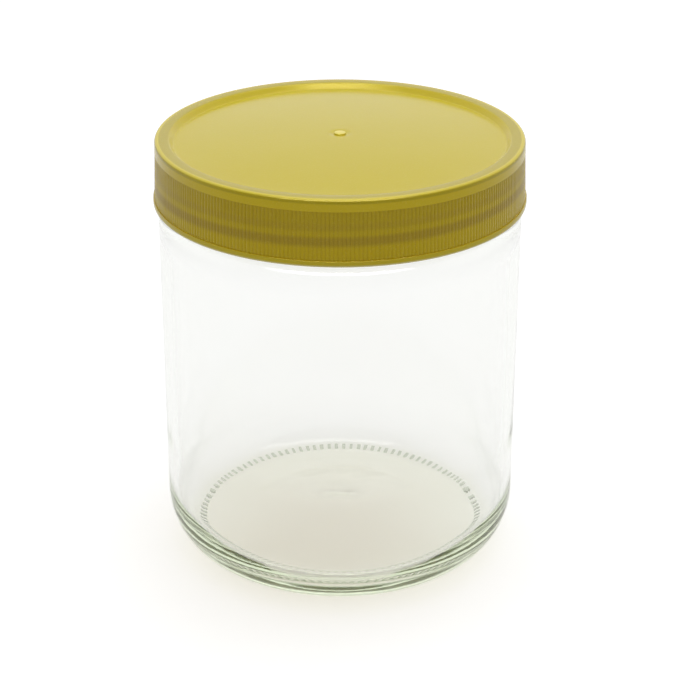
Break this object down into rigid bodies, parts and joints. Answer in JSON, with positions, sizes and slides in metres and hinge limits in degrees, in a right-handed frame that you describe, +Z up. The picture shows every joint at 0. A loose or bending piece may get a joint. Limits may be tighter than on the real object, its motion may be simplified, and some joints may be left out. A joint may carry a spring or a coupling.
{
  "type": "screw-top storage jar",
  "caption": "Straight-sided clear glass food jar with a translucent gold plastic screw lid and a sealing liner, used to keep sourdough starter.",
  "frame": {"origin": "centre of the ring that the jar stands on, in the plane of the table", "axes": "+Z up along the jar's axis, through the mouth and the lid; the jar is round, so +X is free, and -Y is the side that the picture shows"},
  "size_m": [0.084, 0.084, 0.1006],
  "materials": {
    "clear_glass": "clear pressed soda-lime glass, faintly green in the thick edges",
    "lid_plastic": "satin pearl gold-olive polypropylene, slightly translucent",
    "liner_foam": "white foamed sheet with a smooth skin"
  },
  "bodies": {
    "jar": {"glass_jar": "clear_glass"},
    "liner": {"lid_liner": "liner_foam"},
    "lid": {"screw_lid": "lid_plastic"}
  },
  "joints": [
    {"name": "lid_lift", "type": "slide", "parent": "jar", "child": "liner", "axis": [0, 0, 1], "range_m": [0, 0.012]},
    {"name": "lid_turn", "type": "hinge", "parent": "liner", "child": "lid", "pos_m": [0, 0, 0.0976], "axis": [0, 0, 1], "range_deg": [0, 1080]}
  ],
  "couplings": [
    {"joint": "lid_lift", "follows": "lid_turn", "m_per_rad": 0.00063662}
  ]
}
